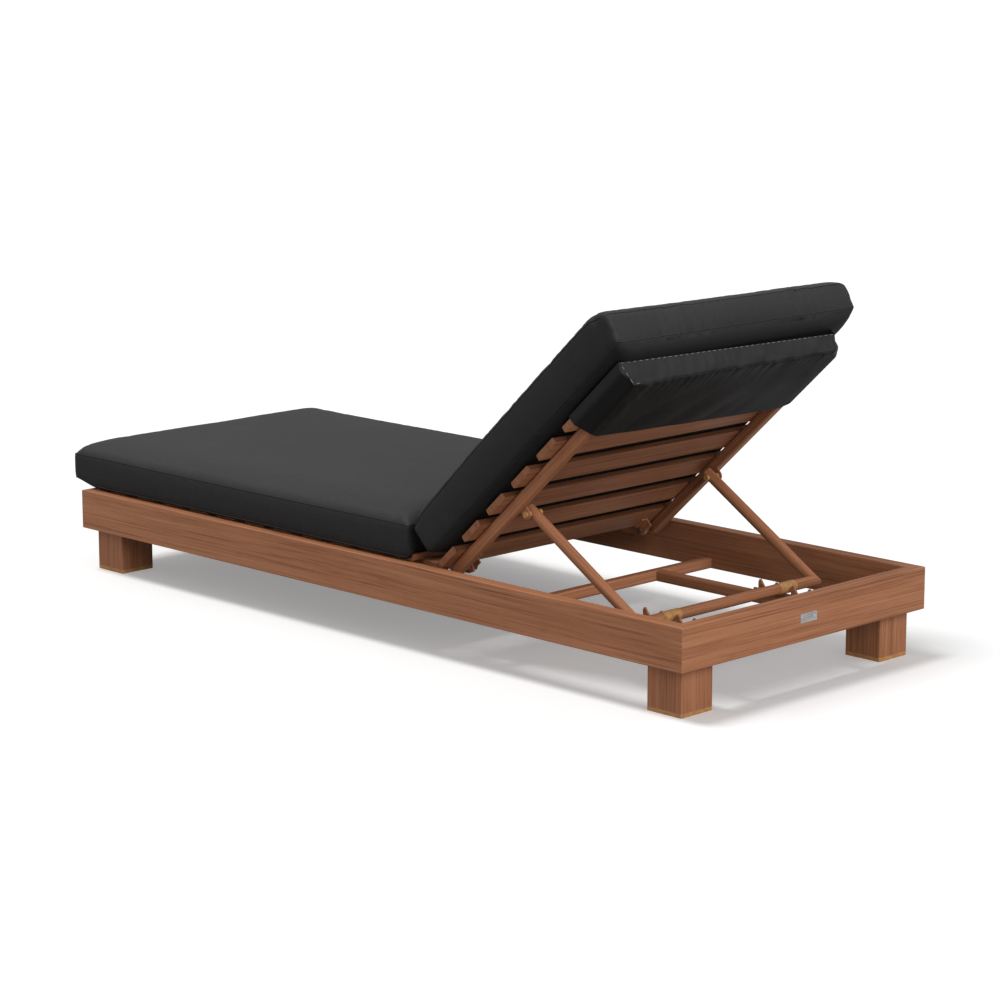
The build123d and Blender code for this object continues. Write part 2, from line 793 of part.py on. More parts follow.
rail = seat_rail()
write("seat_rails", rail, mirror_x(rail))
write("seat_cross_tubes", *seat_cross_tubes())
write("seat_rail_plugs", *rail_plugs_at([(seat_rail_end_y, 1)]))
for number, edge in enumerate(seat_slat_edges(), start=1):
    write(f"seat_slat_{number:02d}", slat(edge))
write("seat_slat_plugs", *[plug for edge in seat_slat_edges() for plug in slat_plugs(edge)])

plate = seat_hinge_plate()
write("seat_hinge_plates", plate, mirror_x(plate))
pin = hinge_pin()
write("hinge_pins", pin, mirror_x(pin))

write("rack_cross_tube", rack_cross_tube())
beam = rack_beam()
write("rack_beams", beam, mirror_x(beam))
toothed = rack()
write("rack_right", toothed)
write("rack_left", mirror_x(toothed))
write("badge_plate", badge_plate())
write("badge_rivets", *badge_rivets())
write("seat_cushion", seat_cushion())

upright = back_rail()
write("back_rail_right", upright)
write("back_rail_left", mirror_x(upright))
write("back_head_tube", back_head_tube())
back_plugs = [raise_back(plug) for plug in rail_plugs_at([(back_start_y, -1), (back_end_y, 1)])]
write("back_rail_plugs", *back_plugs)
for number, edge in enumerate(back_slat_edges(), start=1):
    write(f"back_slat_{number}", raise_back(slat(edge)))
write("back_slat_plugs", *[raise_back(plug) for edge in back_slat_edges() for plug in slat_plugs(edge)])
moving_plate = back_hinge_plate()
write("back_hinge_plates", moving_plate, mirror_x(moving_plate))
lug = prop_lug()
write("prop_lugs", lug, mirror_x(lug))
carrier = prop_pin()
write("prop_pins", carrier, mirror_x(carrier))
spacer = prop_spacer()
write("prop_spacers", spacer, mirror_x(spacer))
write("back_cushion", back_cushion())
write("hood_back_panel", hood_back_panel())
side_panel = hood_side_panel()
write("hood_side_panels", side_panel, mirror_x(side_panel))
write("hood_end_band", hood_end_band())

strut = prop_leg()
write("prop_leg_right", strut)
write("prop_leg_left", mirror_x(strut))
write("prop_bar", prop_bar())
cap = prop_end_cap()
write("prop_end_caps", cap, mirror_x(cap))
sleeve = bar_sleeve()
write("bar_sleeves", sleeve, mirror_x(sleeve))

print("hinge", round(hinge_y, 2), round(hinge_z, 2))
print("prop pin", round(prop_pin_y, 2), round(prop_pin_z, 2), "slope", round(prop_slope, 2))
print("bar", round(bar_y, 2), round(bar_z, 2), "rack stop", round(rack_stop_y, 2))
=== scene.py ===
import bpy
import json
import math
from mathutils import Matrix, Vector, noise
from mathutils.bvhtree import BVHTree


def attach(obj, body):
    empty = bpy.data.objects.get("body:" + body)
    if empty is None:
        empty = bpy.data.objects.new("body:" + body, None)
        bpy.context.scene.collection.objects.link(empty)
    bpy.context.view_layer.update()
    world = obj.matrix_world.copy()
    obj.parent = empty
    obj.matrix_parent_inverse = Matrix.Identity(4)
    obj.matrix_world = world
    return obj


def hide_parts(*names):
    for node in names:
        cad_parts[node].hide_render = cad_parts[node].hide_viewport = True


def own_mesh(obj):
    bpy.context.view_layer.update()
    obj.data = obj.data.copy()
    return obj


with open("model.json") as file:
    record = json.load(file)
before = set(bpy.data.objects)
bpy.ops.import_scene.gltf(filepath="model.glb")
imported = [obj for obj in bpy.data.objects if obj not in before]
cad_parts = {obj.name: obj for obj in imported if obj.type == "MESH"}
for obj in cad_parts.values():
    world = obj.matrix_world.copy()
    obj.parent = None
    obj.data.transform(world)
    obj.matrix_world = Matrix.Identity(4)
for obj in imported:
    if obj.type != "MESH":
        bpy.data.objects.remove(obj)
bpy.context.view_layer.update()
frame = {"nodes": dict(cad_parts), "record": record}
record = frame["record"]
print("frame loaded:", len(frame["nodes"]), "nodes")

joints = {j["name"]: j for j in record["behaviour"]["joints"]}
hinge = Vector(joints["backrest_tilt"]["pos_m"])

lounger = {
    "middleY": 0.02425,  # middle of the frame along its length
    "backStart": 0.438,  # from there to where the backrest's own length is measured from
    "backPlane": 0.1745,  # height of the backrest's plane while it lies flat
    "backAngle": math.radians(42.85),
    "propAngle": math.radians(-32.12),
}
middleY = lounger["middleY"]
backStart = middleY + lounger["backStart"]
backPlane = lounger["backPlane"]
backTurn = (
    Matrix.Translation(hinge)
    @ Matrix.Rotation(lounger["backAngle"], 4, "X")
    @ Matrix.Translation(-hinge)
)


class Sock:  # a shader output that takes plain arithmetic
    def __init__(self, shade, out):
        self.shade = shade
        self.out = out

    def sum(self, kind, a, b):
        return self.shade.node("ShaderNodeMath", {"operation": kind}, {0: a, 1: b})

    def __add__(self, other):
        return self.sum("ADD", self, other)

    def __radd__(self, other):
        return self.sum("ADD", other, self)

    def __sub__(self, other):
        return self.sum("SUBTRACT", self, other)

    def __rsub__(self, other):
        return self.sum("SUBTRACT", other, self)

    def __mul__(self, other):
        return self.sum("MULTIPLY", self, other)

    def __rmul__(self, other):
        return self.sum("MULTIPLY", other, self)


class Shade:  # one material and the nodes in it
    def __init__(self, name):
        self.material = bpy.data.materials.new(name)
        self.material.use_nodes = True
        self.tree = self.material.node_tree
        self.tree.nodes.clear()

    def put(self, node, key, value):
        socket = node.inputs[key]
        if isinstance(value, Sock):
            self.tree.links.new(value.out, socket)
        else:
            socket.default_value = value

    def node(self, kind, settings=None, sockets=None, out=0):
        made = self.tree.nodes.new(kind)
        for key, value in (settings or {}).items():
            if key == "stops":
                ramp = made.color_ramp
                while len(ramp.elements) < len(value):
                    ramp.elements.new(0.5)
                for element, (place, colour) in zip(ramp.elements, value):
                    element.position = place
                    element.color = colour
            else:
                setattr(made, key, value)
        for key, value in (sockets or {}).items():
            self.put(made, key, value)
        return Sock(self, made.outputs[out])

    def place(self, turn=(0, 0, 0)):  # object coordinates, turned so that a member's length is an axis
        spot = self.node("ShaderNodeTexCoord", out="Object")
        return self.node("ShaderNodeMapping", {"vector_type": "POINT"}, {"Vector": spot, "Rotation": turn})

    def stretch(self, spot, by):
        return self.node("ShaderNodeVectorMath", {"operation": "MULTIPLY"}, {0: spot, 1: by})

    def shift(self, spot, by):
        return self.node("ShaderNodeVectorMath", {"operation": "ADD"}, {0: spot, 1: by})

    def grainNoise(self, spot, by, scale=1.0, detail=3.0, rough=0.5):
        return self.node(
            "ShaderNodeTexNoise",
            {"noise_dimensions": "3D"},
            {"Vector": self.stretch(spot, by), "Scale": scale, "Detail": detail, "Roughness": rough},
        )

    def range(self, value, low, high, toLow=0.0, toHigh=1.0):
        return self.node(
            "ShaderNodeMapRange",
            {"clamp": True},
            {"Value": value, "From Min": low, "From Max": high, "To Min": toLow, "To Max": toHigh},
        )

    def blend(self, share, a, b):
        made = self.tree.nodes.new("ShaderNodeMix")
        made.data_type = "RGBA"
        self.put(made, "Factor", share)
        for key, value in ((6, a), (7, b)):
            self.put(made, key, value)
        return Sock(self, made.outputs[2])

    def bump(self, height, distance, strength=1.0):
        sockets = {"Height": height, "Distance": distance, "Strength": strength}
        return self.node("ShaderNodeBump", sockets=sockets)

    def finish(self, colour, roughness, bump=None, **fixed):
        made = self.tree.nodes.new("ShaderNodeBsdfPrincipled")
        self.put(made, "Base Color", colour)
        self.put(made, "Roughness", roughness)
        if bump is not None:
            self.put(made, "Normal", bump)
        for key, value in fixed.items():
            made.inputs[key.replace("_", " ")].default_value = value
        end = self.tree.nodes.new("ShaderNodeOutputMaterial")
        self.tree.links.new(made.outputs[0], end.inputs["Surface"])
        return self.material


woodLook = {
    "pale": (0.400, 0.180, 0.092, 1),
    "middle": (0.290, 0.117, 0.056, 1),
    "deep": (0.145, 0.054, 0.025, 1),
    "bands": 34.0,  # broad grain bands across a metre
    "streaks": 170.0,
    "lines": 460.0,  # thin dark lines across a metre
    "pores": 900.0,
    "waver": 0.016,  # how far the grain wanders sideways, in metres
    "roughness": 0.50,
}


def grainMaterial(name, along, turn=(0, 0, 0)):
    s = Shade(name)
    spot = s.place(turn)

    def per(lengthwise, crosswise):
        return tuple(lengthwise if i == along else crosswise for i in range(3))

    wander = s.node(
        "ShaderNodeTexNoise",
        {"noise_dimensions": "3D"},
        {"Vector": s.stretch(spot, per(1.3, 7.0)), "Scale": 1.0, "Detail": 2.0, "Roughness": 0.45},
        out="Color",
    )
    wandered = s.shift(spot, s.stretch(s.shift(wander, (-0.5, -0.5, -0.5)), per(0.0, woodLook["waver"])))
    bands = s.grainNoise(wandered, per(0.9, woodLook["bands"]), detail=2.0, rough=0.5)
    streaks = s.grainNoise(wandered, per(2.2, woodLook["streaks"]), detail=3.0, rough=0.6)
    lines = s.grainNoise(wandered, per(3.0, woodLook["lines"]), detail=2.0, rough=0.6)
    pores = s.grainNoise(wandered, per(26.0, woodLook["pores"]), detail=1.0, rough=0.5)
    blotch = s.grainNoise(spot, per(1.2, 3.0), detail=2.0)
    tint = s.range(bands * 0.17 + streaks * 0.29 + lines * 0.42 + blotch * 0.12, 0.33, 0.66)
    colour = s.node(
        "ShaderNodeValToRGB",
        {"stops": [(0.0, woodLook["deep"]), (0.45, woodLook["middle"]), (1.0, woodLook["pale"])]},
        {"Fac": tint},
    )
    poreMask = s.range(pores, 0.62, 0.72)
    lineMask = s.range(lines, 0.42, 0.34) * s.range(bands, 0.62, 0.40)
    dark = tuple(c * 0.62 for c in woodLook["deep"][:3]) + (1,)
    colour = s.blend(poreMask * 0.30 + lineMask * 0.34, colour, dark)
    height = lines * 0.5 + streaks * 0.4 - poreMask * 0.5
    return s.finish(
        colour,
        s.range(streaks, 0.3, 0.7, woodLook["roughness"] + 0.07, woodLook["roughness"] - 0.06),
        s.bump(height, 0.00012, 0.6),
        Specular_IOR_Level=0.20,
    )


turnBack = (-lounger["backAngle"], 0, 0)
turnProp = (-lounger["propAngle"], 0, 0)
grainX = grainMaterial("woodGrainAcross", 0)
grainY = grainMaterial("woodGrainLengthwise", 1)
grainZ = grainMaterial("woodGrainUpright", 2)
grainBack = grainMaterial("woodGrainBackRail", 1, turnBack)
grainBackX = grainMaterial("woodGrainBackSlat", 0, turnBack)
grainBackThick = grainMaterial("woodGrainBackSlatEnd", 2, turnBack)
grainProp = grainMaterial("woodGrainProp", 1, turnProp)

plasticLook = {
    "tanPlastic": ((0.33, 0.16, 0.055, 1), (0.46, 0.235, 0.085, 1)),
    "brownPlastic": ((0.060, 0.026, 0.014, 1), (0.105, 0.046, 0.026, 1)),
    "roughness": 0.42,
}


def plasticMaterial(name):
    s = Shade(name)
    shade, tone = plasticLook[name]
    spot = s.place()
    mottle = s.grainNoise(spot, (1, 1, 1), scale=90.0, detail=3.0)
    fine = s.grainNoise(spot, (1, 1, 1), scale=1400.0, detail=2.0)
    colour = s.blend(s.range(mottle, 0.35, 0.7), shade, tone)
    return s.finish(
        colour,
        s.range(mottle, 0.3, 0.7, plasticLook["roughness"] - 0.05, plasticLook["roughness"] + 0.08),
        s.bump(fine, 0.00008, 0.5),
        Specular_IOR_Level=0.5,
    )


steelLook = {"colour": (0.86, 0.85, 0.84, 1), "dull": (0.58, 0.57, 0.56, 1), "roughness": 0.24}


def steelMaterial():
    s = Shade("brushedSteel")
    spot = s.place()
    brushed = s.grainNoise(spot, (30.0, 900.0, 900.0), detail=3.0)
    patch = s.grainNoise(spot, (1, 1, 1), scale=70.0, detail=2.0)
    share = s.range(brushed * 0.6 + patch * 0.4, 0.35, 0.65)
    colour = s.blend(share, steelLook["dull"], steelLook["colour"])
    return s.finish(
        colour,
        s.range(brushed, 0.3, 0.7, steelLook["roughness"] - 0.06, steelLook["roughness"] + 0.12),
        s.bump(brushed, 0.00004, 0.5),
        Metallic=1.0,
    )


fabricLook = {
    "thread": (0.0400, 0.0402, 0.0409, 1),
    "gap": (0.0197, 0.0199, 0.0203, 1),
    "pitch": 0.00105,  # one thread of the weave, in metres
    "sheen": 0.025,
    "roughness": 0.60,
    "specular": 0.15,
    "paintedShadeDepth": 0.98,  # painted shade: how far towards black the faces that don't look up are painted
}


def fabricMaterial(name, turn=(0, 0, 0)):
    s = Shade(name)
    spot = s.place(turn)
    parts = s.tree.nodes.new("ShaderNodeSeparateXYZ")
    s.put(parts, 0, spot)
    x, y, z = (Sock(s, parts.outputs[i]) for i in range(3))
    count = 2 * math.pi / fabricLook["pitch"]

    def wave(value):
        return s.node("ShaderNodeMath", {"operation": "SINE"}, {0: value * count})

    weave = wave(x) * wave(y + z) * 0.5 + 0.5
    slub = s.grainNoise(spot, (240.0, 30.0, 240.0), detail=2.0)
    fuzz = s.grainNoise(spot, (1, 1, 1), scale=900.0, detail=2.0)
    worn = s.grainNoise(spot, (1, 1, 1), scale=5.0, detail=3.0)
    share = s.range(weave * 0.45 + slub * 0.30 + fuzz * 0.15 + worn * 0.25, 0.30, 0.85)
    colour = s.blend(share, fabricLook["gap"], fabricLook["thread"])
    facing = s.tree.nodes.new("ShaderNodeSeparateXYZ")
    s.put(facing, 0, s.node("ShaderNodeTexCoord", out="Normal"))
    paintedLightShare = s.range(Sock(s, facing.outputs["Z"]), -0.70, 0.70)  # painted shade: the colour is painted darker as a face turns from looking up to looking down
    colour = s.blend(paintedLightShare, s.blend(fabricLook["paintedShadeDepth"], colour, (0, 0, 0, 1)), colour)
    return s.finish(
        colour,
        s.range(worn, 0.3, 0.7, fabricLook["roughness"] - 0.05, fabricLook["roughness"] + 0.08),
        s.bump(weave * 0.6 + fuzz * 0.4, 0.00022, 0.55),
        Specular_IOR_Level=fabricLook["specular"],
        Sheen_Weight=fabricLook["sheen"],
        Sheen_Roughness=0.45,
    )


tanPlastic = plasticMaterial("tanPlastic")
brownPlastic = plasticMaterial("brownPlastic")
brushedSteel = steelMaterial()
seatFabric = fabricMaterial("charcoalSeatFabric")
backFabric = fabricMaterial("charcoalBackFabric", turnBack)
print("materials made")

nodeLooks = [
    (grainX, ["head_rail", "foot_rail", "seat_cross_tubes", "rack_cross_tube", "prop_bar", "seat_slat_"]),
    (grainY, ["side_rail_", "seat_rails", "seat_hinge_plates", "corner_brackets"]),
    (grainY, ["rack_beams", "rack_left", "rack_right"]),
    (grainZ, ["leg_head_", "leg_foot_", "seat_slat_plugs", "seat_rail_plugs"]),
    (grainBack, ["back_rail_", "back_hinge_plates", "prop_lugs"]),
    (grainBackX, ["back_slat_", "back_head_tube"]),
    (grainBackThick, ["back_slat_plugs"]),
    (grainProp, ["prop_leg_", "prop_end_caps"]),
    (brownPlastic, ["hinge_pins"]),
    (tanPlastic, ["foot_caps", "prop_pins", "prop_spacers", "bar_sleeves"]),
    (brushedSteel, ["badge_plate", "badge_rivets", "leg_bolts"]),
    (seatFabric, ["seat_cushion"]),
    (backFabric, ["back_cushion", "hood_"]),
]
for node, thing in frame["nodes"].items():
    fitting = [(len(start), look) for look, names in nodeLooks for start in names if node.startswith(start)]
    look = max(fitting, key=lambda found: found[0])[1]  # the longest name wins, so plugs come before slats
    thing.data.materials.clear()
    thing.data.materials.append(look)
print("nodes dressed")


def deselectAll():
    if bpy.context.object and bpy.context.object.mode != "OBJECT":
        bpy.ops.object.mode_set(mode="OBJECT")
    bpy.ops.object.select_all(action="DESELECT")


def takeUp(piece):
    deselectAll()
    piece.select_set(True)
    bpy.context.view_layer.objects.active = piece


def addModifier(piece, kind, **settings):
    takeUp(piece)
    made = piece.modifiers.new(kind.title(), kind)
    for key, value in settings.items():
        setattr(made, key, value)
    bpy.ops.object.modifier_apply(modifier=made.name)


def seatInPlace(piece, look, body, slotName, *stoodFor):
    takeUp(piece)
    bpy.ops.object.transform_apply(location=True, rotation=True, scale=True)
    piece.data.materials.clear()
    piece.data.materials.append(look)
    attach(piece, body)
    if stoodFor:
        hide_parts(*stoodFor)


def smoothStep(value, low, high):
    t = min(max((value - low) / (high - low), 0.0), 1.0)
    return t * t * (3 - 2 * t)


seatPad = {
    "name": "seatCushion",
    "halfWidth": 0.386,
    "start": middleY - 1.056,
    "end": middleY + 0.1735,
    "low": 0.2149,
    "lowSeam": 0.2215,
    "topSeam": 0.2845,
    "arch": 0.0,  # how much higher the top seam is at mid length
    "crownTop": 0.3145,
    "reachNear": 0.125,  # how far in the crown is still climbing, from each edge
    "reachFar": 0.016,
    "reachEnd": 0.072,
    "endProfile": 2.2,  # 1 slopes up from the end seams, 2 and over rounds up
    "farTilt": 0.0,
    "belly": 0.012,  # how far in the underside's edge is still lifting to its seam
    "drawIn": 0.004,
    "swell": 0.0035,
    "startLean": 0.0,
    "endLean": 0.0,
    "voxel": 0.0085,
    "puff": 0.006,
    "seed": 3.7,
    "dimples": [],
    "droop": 0.0140,  # the sides hang past the slat ends, down to the side rails
    "droopFrom": 0.3658,
    "opening": 0.2500,  # height of the seam across the head end
}
backPad = {
    "name": "backCushion",
    "halfWidth": 0.386,
    "start": backStart - 0.1665,
    "end": backStart + 0.610,
    "low": 0.2149,
    "lowSeam": backPlane + 0.0655,
    "topSeam": backPlane + 0.1305,
    "arch": 0.0215,
    "crownTop": backPlane + 0.1635,
    "reachNear": 0.050,
    "reachFar": 0.050,
    "reachEnd": 0.075,
    "endProfile": 1.0,
    "farTilt": 0.008,  # the upper end seam is lower on the far side
    "belly": 0.060,
    "drawIn": 0.004,
    "swell": 0.004,
    "startLean": -0.0065,  # the end faces lean with height
    "endLean": 0.016,
    "voxel": 0.0085,
    "puff": 0.006,
    "seed": 11.2,
    "dimples": [
        (0.386, backStart + 0.586, backPlane + 0.146),
        (-0.386, backStart + 0.570, backPlane + 0.146),
    ],
    "droop": 0.0,
    "droopFrom": 1.0,
}


def topSeamAt(pad, u, v):  # the seam climbs from the ends and runs level between them
    climb = pad["arch"] * (1 - min(abs(v), 1.0) ** 14) * (1 - 0.35 * smoothStep(-v, 0.3, 1.0))
    return pad["topSeam"] + climb - pad["farTilt"] * smoothStep(v, 0.8, 1.0) * (1 - u) / 2


def roundRise(distance, reach, profile=2.2):  # 0 at the edge, 1 from reach inwards
    t = min(max(distance / reach, 0.0), 1.0)
    return math.sqrt(max(0.0, 1 - (1 - t) ** profile)) if profile > 1.6 else 1 - (1 - t) ** profile


def lesser(a, b):  # the smaller of two rises, with the ridge between them softened
    a, b = max(a, 0.001), max(b, 0.001)
    return (a ** -5 + b ** -5 - 1) ** -0.2 if a < 0.999 and b < 0.999 else min(a, b)


def shapeCushion(spot, pad):
    u, v, w = spot  # each from -1 to 1
    half = pad["halfWidth"] - pad["drawIn"] * (1 - v * v) * 0.9
    length = pad["end"] - pad["start"]
    middle = (pad["end"] + pad["start"]) / 2
    t = (w + 1) / 2
    side = min(abs(u), 1.0)
    endwise = min(abs(v), 1.0)
    x = half * u
    y = middle + length / 2 * v
    seam = topSeamAt(pad, u, v)
    z = pad["lowSeam"] + (seam - pad["lowSeam"]) * t
    edgeX = half * (1 - side)
    edgeY = length / 2 * (1 - endwise)
    if w > 0.999:
        across = roundRise(edgeX, pad["reachNear"] if u > 0 else pad["reachFar"])
        z += (pad["crownTop"] - seam) * lesser(across, roundRise(edgeY, pad["reachEnd"], pad["endProfile"]))
    if w < -0.999:
        drop = pad["lowSeam"] - pad["low"]
        z -= drop * roundRise(edgeX, pad["belly"]) * roundRise(edgeY, pad["belly"])
    bulge = pad["swell"] * (1 - w * w)
    if side > 0.999:
        x += math.copysign(bulge * (1 - v * v) ** 0.5, u)
    if endwise > 0.999:
        y += math.copysign(bulge * (1 - u * u) ** 0.5, v)
    lean = pad["startLean"] * (1 - v) / 2 + pad["endLean"] * (1 + v) / 2
    fade = smoothStep(endwise, 0.55, 1.0)
    y += lean * t * fade
    return Vector((x, y, z))


def layFlat(piece, pad):  # nothing sinks into the slats
    for vertex in piece.data.vertices:
        vertex.co.z = max(vertex.co.z, pad["low"])


def letHang(piece, pad):  # the underside of the overhang sinks to the rail beside the slats
    for vertex in piece.data.vertices:
        p = vertex.co
        past = smoothStep(abs(p.x), pad["droopFrom"], pad["droopFrom"] + 0.004)
        lower = 1 - smoothStep(p.z, pad["lowSeam"] + 0.002, pad["lowSeam"] + 0.040)
        foot = smoothStep(p.y, pad["start"] + 0.004, pad["start"] + 0.085)
        p.z -= pad["droop"] * past * lower * foot


def startCushion(pad):
    deselectAll()
    bpy.ops.mesh.primitive_cube_add(size=2)
    piece = bpy.context.object
    piece.name = pad["name"]
    bpy.ops.object.mode_set(mode="EDIT")
    bpy.ops.mesh.select_all(action="SELECT")
    bpy.ops.mesh.subdivide(number_cuts=63)
    bpy.ops.object.mode_set(mode="OBJECT")
    for vertex in piece.data.vertices:
        vertex.co = shapeCushion(vertex.co, pad)
    return piece


fillLook = {
    "mass": 0.3,
    "tension": 18,
    "compression": 14,
    "bending": 0.8,
    "pressure": 4,
    "frames": 20,
    "share": 0.55,  # how much of the cloth's own movement is kept
}


def puffUp(piece, pad):
    takeUp(piece)
    remesh = piece.modifiers.new("Remesh", "REMESH")
    remesh.mode = "VOXEL"
    remesh.voxel_size = pad["voxel"]
    bpy.ops.object.modifier_apply(modifier=remesh.name)
    rest = [v.co.copy() for v in piece.data.vertices]
    cloth = piece.modifiers.new("Cloth", "CLOTH")
    cloth.settings.quality = 4
    cloth.settings.mass = fillLook["mass"]
    cloth.settings.tension_stiffness = fillLook["tension"]
    cloth.settings.compression_stiffness = fillLook["compression"]
    cloth.settings.bending_stiffness = fillLook["bending"]
    cloth.settings.use_pressure = True
    cloth.settings.uniform_pressure_force = fillLook["pressure"]
    cloth.settings.effector_weights.gravity = 0
    cloth.collision_settings.use_collision = False
    cloth.collision_settings.use_self_collision = False
    scene = bpy.context.scene
    scene.frame_start = 1
    scene.frame_end = fillLook["frames"]
    for step in range(1, fillLook["frames"] + 1):
        scene.frame_set(step)
    bpy.ops.object.modifier_apply(modifier=cloth.name)
    scene.frame_set(1)
    limit = pad["puff"]
    for vertex, before in zip(piece.data.vertices, rest):
        move = vertex.co - before
        if move.length > limit:
            move *= limit / move.length
        vertex.co = before + move * fillLook["share"]
    layFlat(piece, pad)


puckerLook = {
    "wide": 42,  # puckers across a metre
    "fine": 105,
    "topReach": 0.018,  # how far they run from the top seam
    "lowReach": 0.022,
    "seam": 0.0009,  # how high they are, in metres
    "end": 0.0010,
    "edge": 0.0008,
    "dent": 0.0012,
    "dimple": 0.0042,
    "dimpleWidth": 0.011,
}


def ruffle(piece, pad):  # puckers along the seams and slow dents, in the cushion's own flat frame
    look = puckerLook
    mesh = piece.data
    mesh.update()
    places = [(v.co.copy(), v.normal.copy()) for v in mesh.vertices]
    middle, half = (pad["start"] + pad["end"]) / 2, (pad["end"] - pad["start"]) / 2
    for vertex, (p, n) in zip(mesh.vertices, places):
        topSeam = topSeamAt(pad, p.x / pad["halfWidth"], (p.y - middle) / half)
        nearSeam = math.exp(-abs(p.z - topSeam) / look["topReach"])
        nearSeam += math.exp(-abs(p.z - pad["lowSeam"]) / look["lowReach"])
        edgeX = pad["halfWidth"] - abs(p.x)
        edgeY = min(p.y - pad["start"], pad["end"] - p.y)
        onTop = smoothStep(n.z, 0.5, 0.9)
        onEnd = smoothStep(abs(n.y), 0.5, 0.9)
        along = p.y if edgeX < edgeY else p.x
        wide = noise.noise(Vector((along * look["wide"], pad["seed"], p.z * 9)))
        fine = noise.noise(Vector((along * look["fine"], pad["seed"], p.z * 14)))
        rare = smoothStep(noise.noise(Vector((along * 5.5, pad["seed"], 8.1))), -0.15, 0.45)
        pucker = wide + 0.7 * fine
        dent = noise.noise(Vector((p.x * 4.2, p.y * 4.2, pad["seed"]))) + 0.4 * noise.noise(p * 10)
        edge = math.exp(-max(min(edgeX, edgeY), 0.0) / 0.030)
        move = pucker * (look["seam"] * nearSeam * (1 + 4.5 * onEnd * rare) + look["end"] * onEnd * rare)
        move += look["edge"] * pucker * edge * onTop + look["dent"] * dent
        for dimple in pad["dimples"]:
            away = (p - Vector(dimple)).length / look["dimpleWidth"]
            move -= look["dimple"] * math.exp(-away ** 2)
        if n.z < -0.6:
            move = 0.0
        vertex.co = p + n * move
    layFlat(piece, pad)
    if pad["droop"] > 0:
        letHang(piece, pad)
    mesh.update()


def makeCushion(pad):
    piece = startCushion(pad)
    puffUp(piece, pad)
    addModifier(piece, "SUBSURF", levels=1, render_levels=1)
    ruffle(piece, pad)
    return piece


seatCushion = makeCushion(seatPad)
print("seat cushion made:", len(seatCushion.data.vertices))
backCushion = makeCushion(backPad)
print("back cushion made:", len(backCushion.data.vertices))


def surfaceOf(piece):
    corners = [v.co.copy() for v in piece.data.vertices]
    return BVHTree.FromPolygons(corners, [tuple(p.vertices) for p in piece.data.polygons])


seamLook = {"radius": 0.0011, "lift": 0.0002, "step": 0.008}


def seamLoop(pad, height, top=False):
    half, start, end = pad["halfWidth"], pad["start"], pad["end"]
    steps = int((end - start) / seamLook["step"])
    across = int(2 * half / seamLook["step"])

    def level(x, y):
        if top:
            return topSeamAt(pad, x / half, 2 * (y - start) / (end - start) - 1)
        hang = smoothStep(abs(x), half - 0.004, half) * smoothStep(y, start + 0.004, start + 0.085)
        return height - pad["droop"] * hang

    endY = end + (pad["endLean"] if top else 0)
    startY = start + (pad["startLean"] if top else 0)
    points = [Vector((half, start + (end - start) * i / steps, 0)) for i in range(steps)]
    points += [Vector((half - 2 * half * i / across, endY, 0)) for i in range(across)]
    points += [Vector((-half, end - (end - start) * i / steps, 0)) for i in range(steps)]
    points += [Vector((-half + 2 * half * i / across, startY, 0)) for i in range(across)]
    for point in points:
        point.z = level(point.x, point.y)
    return points


def seamAlong(name, cushion, points, radius, closed=True):
    surface = surfaceOf(cushion)
    curve = bpy.data.curves.new(name, "CURVE")
    curve.dimensions = "3D"
    curve.bevel_depth = radius
    curve.bevel_resolution = 2
    line = curve.splines.new("POLY")
    line.points.add(len(points) - 1)
    for spot, target in zip(line.points, points):
        nearest, normal, index, distance = surface.find_nearest(target)
        on = nearest + normal * seamLook["lift"]
        spot.co = (on.x, on.y, on.z, 1)
    line.use_cyclic_u = closed
    piece = bpy.data.objects.new(name, curve)
    bpy.context.scene.collection.objects.link(piece)
    takeUp(piece)
    bpy.ops.object.convert(target="MESH")
    piece = bpy.context.object
    piece.name = name
    bpy.ops.object.shade_smooth()
    return piece


def seamUpright(pad, x, y):  # where the side and end strips of the boxing are joined
    return [Vector((x, y, pad["lowSeam"] + (pad["topSeam"] - pad["lowSeam"]) * i / 12)) for i in range(13)]


def seamAcross(pad):  # the opening of the cover, across the end
    half = pad["halfWidth"] - 0.004
    return [Vector((-half + 2 * half * i / 90, pad["end"] + 0.002, pad["opening"])) for i in range(91)]


radius = seamLook["radius"]
seatTopSeam = seamAlong("seatTopSeam", seatCushion, seamLoop(seatPad, seatPad["topSeam"], True), radius)
seatLowSeam = seamAlong("seatLowSeam", seatCushion, seamLoop(seatPad, seatPad["lowSeam"]), radius)
seatOpening = seamAlong("seatOpening", seatCushion, seamAcross(seatPad), radius, False)
seatCornerSeams = [
    seamAlong(name, seatCushion, seamUpright(seatPad, x, seatPad["end"]), radius, False)
    for name, x in (("seatCornerNear", seatPad["halfWidth"]), ("seatCornerFar", -seatPad["halfWidth"]))
]
backTopSeam = seamAlong("backTopSeam", backCushion, seamLoop(backPad, backPad["topSeam"], True), radius)
backLowSeam = seamAlong("backLowSeam", backCushion, seamLoop(backPad, backPad["lowSeam"]), radius)



def leanBack(*pieces):  # from the flat frame to the backrest's slope
    for piece in pieces:
        piece.data.transform(backTurn)
        piece.data.update()


leanBack(backCushion, backTopSeam, backLowSeam)
seatSeams = [seatTopSeam, seatLowSeam, seatOpening] + seatCornerSeams
seatInPlace(seatCushion, seatFabric, "base", "cushion_fabric", "seat_cushion")
for piece in seatSeams:
    seatInPlace(piece, seatFabric, "base", "cushion_fabric")
seatInPlace(backCushion, backFabric, "backrest", "cushion_fabric", "back_cushion")
for piece in (backTopSeam, backLowSeam):
    seatInPlace(piece, backFabric, "backrest", "cushion_fabric")
for piece in (seatCushion, backCushion):
    takeUp(piece)
    bpy.ops.object.shade_smooth()
for piece in [seatCushion] + seatSeams:  # the back cushion presses on its head end
    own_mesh(piece)
print("cushions in place")


